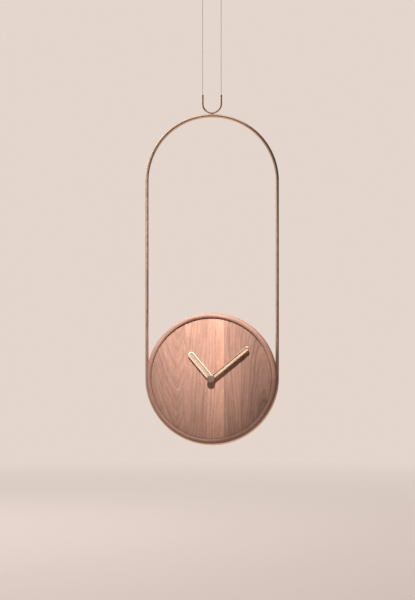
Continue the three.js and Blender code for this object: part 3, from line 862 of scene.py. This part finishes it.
def cable_ends():
    shank_r = 0.58 * MM
    for name, side in SIDES:
        x = side * CABLE_X
        top = middle(f"cable_ball_top_{name}")
        r = size(f"cable_ball_top_{name}").z / 2
        bm = lathe(ball_profile(top.z, r, 0.65 * MM, top.z - r - 1.2 * MM), 32, about_z(x))
        body = f"{name}_cable"
        piece(f"swaged_ball_top_{name}", bm, "steel", body, "steel", f"cable_ball_top_{name}")

        low_ball = middle(f"cable_ball_low_{name}")
        r = size(f"cable_ball_low_{name}").z / 2
        neck = 0.35 * MM
        if name == "left":
            body, neck = "left_lower_ball", -0.2 * MM
        bm = lathe(ball_profile(low_ball.z, r, shank_r, low_ball.z + r + neck), 28, about_z(x))
        piece(f"swaged_ball_low_{name}", bm, "steel", body, "steel", f"cable_ball_low_{name}")

        low, high = box(f"cable_socket_{name}")
        r = size(f"cable_socket_{name}").y / 2
        socket = [
            (0, low.z - 0.5 * MM),
            (HANGER_ROD_R, low.z - 0.5 * MM),
            (HANGER_ROD_R + 0.25 * MM, low.z - 0.2 * MM),
            (r, low.z + 0.3 * MM, 1.0),
            (r, low.z + 2.0 * MM, 0.5),
            (r - 0.2 * MM, low.z + 2.25 * MM, 0.5),
            (r, low.z + 2.5 * MM, 0.5),
            (r, high.z - 1.6 * MM, 0.5),
            (r - 0.2 * MM, high.z - 1.35 * MM, 0.5),
            (r, high.z - 1.1 * MM, 0.5),
            (r, high.z, 1.6),
            (1.3 * MM, high.z, 0.5),
            (0.95 * MM, high.z - MM),
            (1.4 * MM, high.z - 1.3 * MM),
            (1.4 * MM, low.z + 3.7 * MM),
            (0, low.z + 3.7 * MM),
        ]
        bm = lathe(rounded(socket, 0.3 * MM, 3), 36, about_z(x))
        piece(f"socket_{name}", bm, "turned", "clock", "brass_polished", f"cable_socket_{name}")


# ------------------------ rod loop and U hanger


def rod_loop():
    half = math.pi / 2
    centres = arc_points(LOOP_R, DRUM_Z, -half, 0, 40)
    centres += line_points(Vector((LOOP_R, 0, DRUM_Z)), Vector((LOOP_R, 0, ARCH_Z)), 24)[1:]
    centres += arc_points(LOOP_R, ARCH_Z, 0, math.pi, 80)[1:]
    centres += line_points(Vector((-LOOP_R, 0, ARCH_Z)), Vector((-LOOP_R, 0, DRUM_Z)), 24)[1:]
    centres += arc_points(LOOP_R, DRUM_Z, math.pi, 3 * half, 40)[1:-1]
    bm = sweep(centres, ROD_R, 24, closed=True)
    nodes = ("frame_arch", "frame_leg_left", "frame_leg_right", "frame_cradle")
    piece("rod_loop", bm, "rod", "clock", "brass_polished", *nodes)


def u_hanger():
    low, high = box("u_hanger")
    bend_z = low.z + HANGER_ROD_R + CABLE_X
    centres = line_points(Vector((CABLE_X, 0, high.z)), Vector((CABLE_X, 0, bend_z)), 8)
    centres += arc_points(CABLE_X, bend_z, 0, -math.pi, 48)[1:]
    centres += line_points(Vector((-CABLE_X, 0, bend_z)), Vector((-CABLE_X, 0, high.z)), 8)[1:]
    bm = sweep(centres, HANGER_ROD_R, 20)
    piece("u_hanger_rod", bm, "rod", "clock", "brass_polished", "u_hanger")


def hanger_braze():
    """The fillet of brazing metal where the U stands on the arch."""
    reach = 5.0 * MM
    hollow = 0.35  # how far the ends sink in between the two rods, as a share of the reach
    bend_z = box("u_hanger")[0].z + HANGER_ROD_R + CABLE_X
    bm = bmesh.new()
    rows = []
    steps = 16
    for i in range(steps + 1):
        x = reach * (2 * i / steps - 1)
        under = ARCH_Z + math.sqrt(LOOP_R**2 - x**2)
        over = bend_z - math.sqrt(CABLE_X**2 - x**2)
        thick = 1.15 * MM * math.sqrt(max(0.02, 1 - (x / reach) ** 2)) + 0.1 * MM
        centre, half = (under + over) / 2, (over - under) / 2
        row = []
        for j in range(16):
            a = TURN * j / 16
            waist = 1 - 0.25 * math.cos(a) ** 2
            inward = 1 - hollow * math.cos(a) ** 2 * abs(x) / reach
            y, z = thick * math.cos(a) * waist, centre + half * math.sin(a)
            row.append(bm.verts.new((x * inward, y, z)))
        rows.append(row)
        if i in (0, steps):
            tip = [bm.verts.new((x * (1 - hollow), 0, centre))]
            rows = [tip, row] if i == 0 else [*rows, tip]
    skin(bm, rows, 16)
    piece("hanger_braze", bm, "rod", "clock", "brass_polished")


# ------------------------ drum

LIP_WIDTH = DRUM_R - DIAL_R - GAP
DRUM_BORE_R = 126 * MM
DRUM_SEGMENTS = 160


def case_ring():
    rebate = DRUM_R - LIP_WIDTH
    lip_r = LIP_WIDTH / 2
    cover_low, _ = box("back_cover")
    groove = ROD_R + GAP
    profile = [
        (DRUM_R, DRUM_HIGH.y, 1.0),
        (DRUM_R, groove, 0.3),
        (LOOP_R - groove, groove),
        (LOOP_R - groove, -groove),
        (DRUM_R, -groove, 0.3),
        (DRUM_R, DRUM_LOW.y + lip_r + 4 * MM),
    ]
    lip_steps = 16
    for k in range(lip_steps + 1):
        a = math.pi * k / lip_steps
        r = rebate + lip_r + lip_r * math.cos(a)
        profile.append((r, DRUM_LOW.y + lip_r - lip_r * math.sin(a)))
    profile += [
        (rebate, DIAL_HIGH.y + GAP),
        (DRUM_BORE_R, DIAL_HIGH.y + GAP),
        (DRUM_BORE_R, cover_low.y - GAP),
        (rebate, cover_low.y - GAP),
        (rebate, DRUM_HIGH.y, 0.5),
    ]
    bm = lathe(rounded(profile, 1.2 * MM), DRUM_SEGMENTS, about_y())
    piece("drum_case", bm, "case", "clock", "walnut_case", "case_ring")


# The dial's boards from left to right, in millimetres from its middle: right-hand edge, where its
# grain arches about, how light it is, and which way the arches open (1 down, -1 up, 0 straight).
BOARDS = (
    (-60, -74, 0.52, -1.0),
    (-9, -52, 0.6, -0.3),
    (28.5, 31, 0.84, 0.12),
    (66, 12, 0.52, 0.2),
    (150, 118, 0.46, 0.4),
)
JOINT_WIDTH = 0.16 * MM
SHAFT_HOLE_R = 4.3 * MM


def slice_across(bm, x):
    """Cuts every face of the mesh along a plane of constant X."""
    everything = bm.verts[:] + bm.edges[:] + bm.faces[:]
    bmesh.ops.bisect_plane(bm, geom=everything, plane_co=(x, 0, 0), plane_no=(1, 0, 0), dist=1e-8)


def dial():
    """Boards glued edge to edge and cut to a disc, with a fine groove at each joint."""
    profile = [(SHAFT_HOLE_R, DIAL_LOW.y, 1.0), (DIAL_R, DIAL_LOW.y, 1.0)]
    profile += [(DIAL_R, DIAL_HIGH.y), (SHAFT_HOLE_R, DIAL_HIGH.y)]
    bm = lathe(rounded(profile, 0.5 * MM), DRUM_SEGMENTS, about_y())
    joints = [edge * MM for edge, *_ in BOARDS[:-1]]
    for x in joints:
        for offset in (-JOINT_WIDTH, 0, JOINT_WIDTH):
            slice_across(bm, x + offset)
    for v in bm.verts:
        on_joint = any(abs(v.co.x - x) < 1e-6 for x in joints)
        if on_joint and v.co.y < DIAL_LOW.y + 1e-6:
            v.co.y += JOINT_WIDTH
    made = piece("dial_boards", bm, "dial", "clock", "walnut_dial", "dial", sharp=25)
    values = made.data.attributes.new("board", "FLOAT_VECTOR", "FACE")
    for face in made.data.polygons:
        row = next(b for b in BOARDS if face.center.x < b[0] * MM)
        values.data[face.index].vector = (row[1] * MM, row[2], row[3])


def back_cover():
    low, high = box("back_cover")
    outer, window = size("back_cover").x / 2, 55 * MM
    profile = [(window, low.y), (outer, low.y), (outer, high.y, 1.0), (window, high.y, 1.6)]
    tools = []
    for i in range(4):
        at = middle(f"cover_screw_{i + 1}")
        tools.append(cylinder(1.5 * MM, low.y - MM, high.y + MM, 24, about_y(at.x, at.z)))
    board = lathe(rounded(profile, 0.8 * MM), DRUM_SEGMENTS, about_y())
    bm = carved(board, tools)
    piece("cover_board", bm, "plywood", "clock", "plywood", "back_cover")


def cover_screws():
    for i in range(4):
        node = f"cover_screw_{i + 1}"
        low, high = box(node)
        at = middle(node)
        head_y = box("back_cover")[1].y
        profile = [(0, low.y), (0.5 * MM, low.y + 0.8 * MM)]
        turns = 9
        for k in range(turns):
            y = low.y + 1.4 * MM + k * 1.3 * MM
            profile += [(0.95 * MM, y), (1.3 * MM, y + 0.35 * MM), (0.95 * MM, y + 0.7 * MM)]
        profile += [
            (1.15 * MM, head_y - 2 * MM),
            (1.15 * MM, head_y),
            (3.2 * MM, head_y, 0.8),
            (3.1 * MM, head_y + 0.7 * MM, 1.0),
            (1.9 * MM, high.y, 1.5),
            (0, high.y),
        ]
        bm = lathe(rounded(profile, 0.5 * MM), 32, about_y(at.x, at.z))
        arms = []
        for wide, tall in ((1.7 * MM, 0.32 * MM), (0.32 * MM, 1.7 * MM)):
            corner = Vector((wide, 1.2 * MM, tall))
            centre = Vector((at.x, high.y, at.z))
            arms.append(block(centre - corner, centre + corner, 0))
        piece(f"pan_screw_{i + 1}", carved(bm, arms), "steel", "clock", "steel", node)


def wall_pads():
    rng = random.Random(7)
    for i in range(3):
        node = f"wall_pad_{i + 1}"
        _, high = box(node)
        at = middle(node)
        r = size(node).x / 2
        base = box("back_cover")[1].y
        profile = [(0, base)]
        profile += [(r * k / 8, base) for k in range(1, 8)]
        profile += [(r, base + 0.2 * MM), (r, high.y - 0.5 * MM), (r - 0.4 * MM, high.y - 0.1 * MM)]
        profile += [(r * k / 8, high.y) for k in range(7, 0, -1)] + [(0, high.y)]
        bm = lathe(profile, 48, about_y(at.x, at.z))
        for v in bm.verts:
            if v.co.y > base + 0.1 * MM:
                v.co.y -= rng.random() * 0.12 * MM
                out = Vector((v.co.x - at.x, 0, v.co.z - at.z))
                v.co -= out * rng.random() * 0.015
        piece(f"felt_pad_{i + 1}", bm, "felt", "clock", "felt", node)


# ------------------------ hands

TILT = {"hour_hand": math.radians(-40.2), "minute_hand": math.radians(50.5)}
BAR_THICKNESS = 2.4 * MM
PANEL_DEPTH = 1.9 * MM


def stadium(half_width, length, inset, steps=24):
    """The outline of a bar with round ends, from one end's middle at 0 to the other."""
    r = half_width - inset
    top = length - half_width
    out = []
    for start, middle_z in ((0.0, top), (math.pi, 0.0)):
        for k in range(steps + 1):
            a = start + math.pi * k / steps
            out.append((r * math.cos(a), middle_z + r * math.sin(a)))
    return out


def hand(node, half_width, length, rim, body, finish):
    """A bar with softened edges and a long sunk panel; U runs along it for the brushing."""
    low, _ = box(node)
    front, back = low.y, low.y + BAR_THICKNESS
    soft = 0.28 * MM
    rings = [
        (half_width * 0.15, back),
        (soft * 0.6, back),
        (0.0, back - soft),
        (0.0, front + soft),
        (soft * 0.3, front + soft * 0.3),
        (soft, front),
        (rim - soft * 0.5, front),
        (rim, front + soft * 0.5),
        (rim + 0.1 * MM, front + PANEL_DEPTH),
    ]
    bm = bmesh.new()
    layer = bm.loops.layers.uv.verify()
    rows = []
    for inset, y in rings:
        rows.append([bm.verts.new((x, y, z)) for x, z in stadium(half_width, length, inset)])
    skin(bm, rows, len(rows[0]))
    bm.faces.new(rows[0])
    panel = bm.faces.new(rows[-1])
    panel.material_index = 1
    for face in bm.faces:
        for loop in face.loops:
            loop[layer].uv = (loop.vert.co.z, loop.vert.co.x + loop.vert.co.y)
    turn = Matrix.Translation((0, 0, DRUM_Z)) @ Matrix.Rotation(TILT[node], 4, "Y")
    bmesh.ops.transform(bm, matrix=turn, verts=bm.verts)
    # Both hands are the same brass: the hour rim's lighter colour is a painted highlight and the
    # minute hand's darker colours are painted shade.
    slot = "brass_satin" if node == "hour_hand" else "brass_polished"
    made = piece(f"{node}_bar", bm, finish, body, slot, node, sharp=28)
    made.data.materials.append(M[f"{finish}_panel"])


def hands():
    hand("hour_hand", 7.1 * MM, 75 * MM, 2.5 * MM, "hour_pipe", "hour")
    hand("minute_hand", 5.2 * MM, 108.5 * MM, 2.2 * MM, "minute_arbor", "minute")
    for name, hole, front, back, body in (
        ("hour_collet", 3.1 * MM, DIAL_Y - 5.1 * MM, DIAL_Y - 2.3 * MM, "hour_pipe"),
        ("minute_collet", 1.8 * MM, DIAL_Y - 9.6 * MM, DIAL_Y - 5.6 * MM, "minute_arbor"),
    ):
        outer = hole + 1.6 * MM
        ring = [(hole, back), (outer, back, 1.0), (outer, front, 1.0), (hole, front)]
        bm = lathe(rounded(ring, 0.4 * MM), 40, about_y())
        piece(name, bm, "turned", body, "brass_satin")

    low, high = box("hub_cap")
    r = size("hub_cap").x / 2
    cap = [
        (0, high.y - 0.3 * MM),
        (2.1 * MM, high.y - 0.3 * MM),
        (2.1 * MM, high.y),
        (r, high.y, 0.4),
        (r, low.y + 0.5 * MM, 1.0),
        (r - MM, low.y + 0.12 * MM, 1.0),
        (r * 0.45, low.y),
        (0, low.y),
    ]
    bm = lathe(rounded(cap, 0.6 * MM), 72, about_y())
    # The cap's dark colour is a painted reflection of a dark room; it is the same brass as the
    # hands.
    piece("hub_cap_turned", bm, "hub", "minute_arbor", "brass_dark", "hub_cap")


# ------------------------ movement


def bar(x, z, wide, tall, low_y, high_y, bevel=0.12 * MM):
    """A small raised bar on the movement's back, placed from the drum's middle."""
    centre = Vector((x, 0, DRUM_Z + z))
    reach = Vector((wide / 2, 0, tall / 2))
    low, high = centre - reach, centre + reach
    low.y, high.y = low_y, high_y
    return block(low, high, bevel, 2)


def housing_tray():
    """The open tray of the movement, with four snap hooks on its sides."""
    low, high = box("housing_front")
    wall = 1.2 * MM
    rim = box("housing_rear")[0].z
    inner_low, inner_high = low + Vector((wall, wall, wall)), high - Vector((wall, 0, wall))
    past = high.y + 3 * MM
    train = block((inner_low.x, inner_low.y, rim + MM), (inner_high.x, past, inner_high.z), 0)
    bay = block(inner_low, (inner_high.x, past, rim), 0)
    neck = cylinder(4.15 * MM, low.y - MM, low.y + 3 * MM, 32, about_y())
    tray = carved(block(low, high, 0.9 * MM), [train, bay, neck])
    hooks = []
    for side in (-1, 1):
        for z in (-MM, 18 * MM):
            hook_low, hook_high = high.y - 3.5 * MM, high.y - 0.6 * MM
            hooks.append(bar(side * high.x, z, MM, 5 * MM, hook_low, hook_high))
    tray = merged(tray, *hooks)
    piece("movement_tray", tray, "housing", "clock", "black_plastic", "housing_front")


def housing_plate():
    """The back plate: a raised border, ribs, a boss round the knob's shaft, a minus and a plus."""
    low, high = box("housing_rear")
    knob = middle("setting_knob")
    ridge = high.y + 0.35 * MM
    root = high.y - 0.3 * MM
    bore = cylinder(1.45 * MM, low.y - MM, high.y + MM, 24, about_y(knob.x, knob.z))
    plate = carved(block(low, high, 0.5 * MM), [bore])
    boss = [(1.5 * MM, root), (3.2 * MM, root), (3.2 * MM, ridge, 1.0), (1.5 * MM, ridge)]
    raised = [lathe(rounded(boss, 0.15 * MM), 40, about_y(knob.x, knob.z))]
    left, right = low.x + 2.5 * MM, high.x - 2.5 * MM
    top, foot = high.z - DRUM_Z - 2.5 * MM, low.z - DRUM_Z + 2.0 * MM
    line = 0.8 * MM
    for x in (left, right):
        raised.append(bar(x, (top + foot) / 2 + 2.5 * MM, line, top - foot - 7 * MM, root, ridge))
    raised.append(bar(0, top, right - left + line, line, root, ridge))
    for k in range(5):
        raised.append(bar(-17 * MM + k * 3 * MM, -4 * MM, MM, 8 * MM, root, ridge))
    sign = 3.2 * MM
    raised.append(bar(left + 0.4 * MM, foot, sign, line, root, ridge))
    raised.append(bar(right - 0.4 * MM, foot, sign, line, root, ridge))
    for way in (-1, 1):
        arm = (sign - line) / 2
        raised.append(bar(right - 0.4 * MM, foot + way * (line + arm) / 2, line, arm, root, ridge))
    plate = merged(plate, *raised)
    piece("movement_plate", plate, "housing", "clock", "black_plastic", "housing_rear")


def knob_grip():
    """The fluted grip over the setting knob, with a dished face and a pointer."""
    at = middle("setting_knob")
    face = box("setting_knob")[1].y + 0.15 * MM
    base = face - 3.2 * MM
    outer = 6.75 * MM
    profile = [
        (0, base),
        (outer - 0.3 * MM, base, 1.0),
        (outer, base + 0.5 * MM),
        (outer, base + 1.1 * MM),
        (outer, base + 1.9 * MM),
        (outer, face - 0.5 * MM),
        (outer - 0.5 * MM, face, 1.0),
        (outer - 1.6 * MM, face, 1.0),
        (outer - 2.0 * MM, face - 0.1 * MM),
        (0, face - 0.1 * MM),
    ]

    def flutes(angle, radius, height):
        return 0.0 if radius < outer * 0.99 else -0.12 * MM * (1 - math.cos(24 * angle))

    grip = lathe(rounded(profile, 0.3 * MM, 3), 144, about_y(at.x, at.z), flutes)
    pointer = bar(at.x, at.z - DRUM_Z + 2.6 * MM, 0.7 * MM, 2.6 * MM, face - 0.4 * MM, face)
    piece("knob_grip", merged(grip, pointer), "knob", "knob", "gear_plastic")


def battery():
    """A round cell in its sleeve, with bare steel ends and a positive nub."""
    low, high = box("battery")
    at = middle("battery")
    r = size("battery").z / 2
    shoulder = high.x - 1.3 * MM
    profile = [
        (0, low.x + 0.2 * MM),
        (4.6 * MM, low.x + 0.2 * MM, 1.0),
        (4.9 * MM, low.x, 1.0),
        (r - 0.5 * MM, low.x, 1.0),
        (r, low.x + 0.5 * MM, 1.0),
        (r, shoulder - 0.6 * MM, 1.0),
        (r - 0.5 * MM, shoulder, 1.0),
        (r - 1.2 * MM, shoulder, 1.0),
        (r - 1.3 * MM, shoulder - 0.35 * MM),
        (2.9 * MM, shoulder - 0.35 * MM, 1.0),
        (2.7 * MM, high.x - 0.2 * MM, 1.0),
        (2.3 * MM, high.x, 1.0),
        (0, high.x),
    ]
    bm = lathe(rounded(profile, 0.3 * MM, 3), 56, about_x(at.y, at.z))
    made = piece("battery_cell", bm, "battery", "clock", "battery_skin", "battery")
    made.data.materials.append(M["steel"])
    for face in made.data.polygons:
        across = Vector((face.center.y - at.y, face.center.z - at.z)).length
        if across < r - 0.9 * MM:
            face.material_index = 1


# ------------------------ whole scene


def cad_finishes():
    """Inner pieces keep their CAD shape and get their finish."""
    finishes = {
        "steel": (
            "frame_screw_1",
            "frame_screw_2",
            "frame_screw_3",
            "contact_positive",
            "contact_negative",
            "quartz_crystal",
            "stator",
        ),
        "milled": ("threaded_bushing", "dial_nut", "center_wheel"),
        "gear": ("seconds_wheel", "third_wheel", "minute_wheel", "hour_wheel"),
        "board": ("circuit_board",),
        "copper": ("coil",),
        "magnet": ("rotor",),
        "knob": ("setting_knob",),
    }
    for finish, nodes in finishes.items():
        for node in nodes:
            for slot in frame["nodes"][node].material_slots:
                slot.material = M[finish]


def floor():
    """A pale floor that fades into the background far from the clock."""
    bpy.ops.mesh.primitive_circle_add(vertices=128, radius=6.0, fill_type="NGON")
    ground = bpy.context.object
    ground.name = "floor"
    ground.location = (0, 0, box("frame_cradle")[0].z - 0.42)
    g = Graph("floor", Roughness=0.9)
    x, y, _ = g.parts(g.place())
    far = g.maths("SQRT", g.plus(g.maths("POWER", x, 2.0), g.maths("POWER", y, 2.0)))
    g.set("Base Color", rgb(0.92, 0.82, 0.77))
    g.set("Emission Color", rgb(0.8, 0.68, 0.62))
    g.set("Emission Strength", 0.2)
    g.set("Alpha", g.between(far, 0.8, 4.5, 1.0, 0.0))
    ground.data.materials.append(g.material)
    return ground


def world():
    """A pale room that looks even. It lights the clock more from behind and from its left."""
    pale = bpy.data.worlds.new("pale")
    bpy.context.scene.world = pale
    pale.use_nodes = True
    g = Nodes(pale.node_tree)
    x, y, _ = g.parts(g.add("TexCoord", {}))
    behind = g.between(y, -0.5, 0.8, 0.2, 0.9, interpolation_type="SMOOTHSTEP")
    beside = g.between(x, -0.1, 0.7, 1.0, 0.2, interpolation_type="SMOOTHSTEP")
    seen = g.add("LightPath", {})
    back = g.tree.nodes["Background"]
    g.feed(back.inputs["Color"], rgb(0.78, 0.67, 0.61))
    g.feed(back.inputs["Strength"], g.maths("MAXIMUM", g.times(behind, beside), seen))
    bpy.context.scene.view_settings.view_transform = "Standard"


world()
leave_dark(lights(), floor())
canopy()
canopy_nut()
hanger_fork()
pivot_pin()
pin_clip()
ceiling_plate()
spreader()
cable_ends()
rod_loop()
u_hanger()
hanger_braze()
case_ring()
dial()
back_cover()
cover_screws()
wall_pads()
hands()
housing_tray()
housing_plate()
knob_grip()
battery()
cad_finishes()
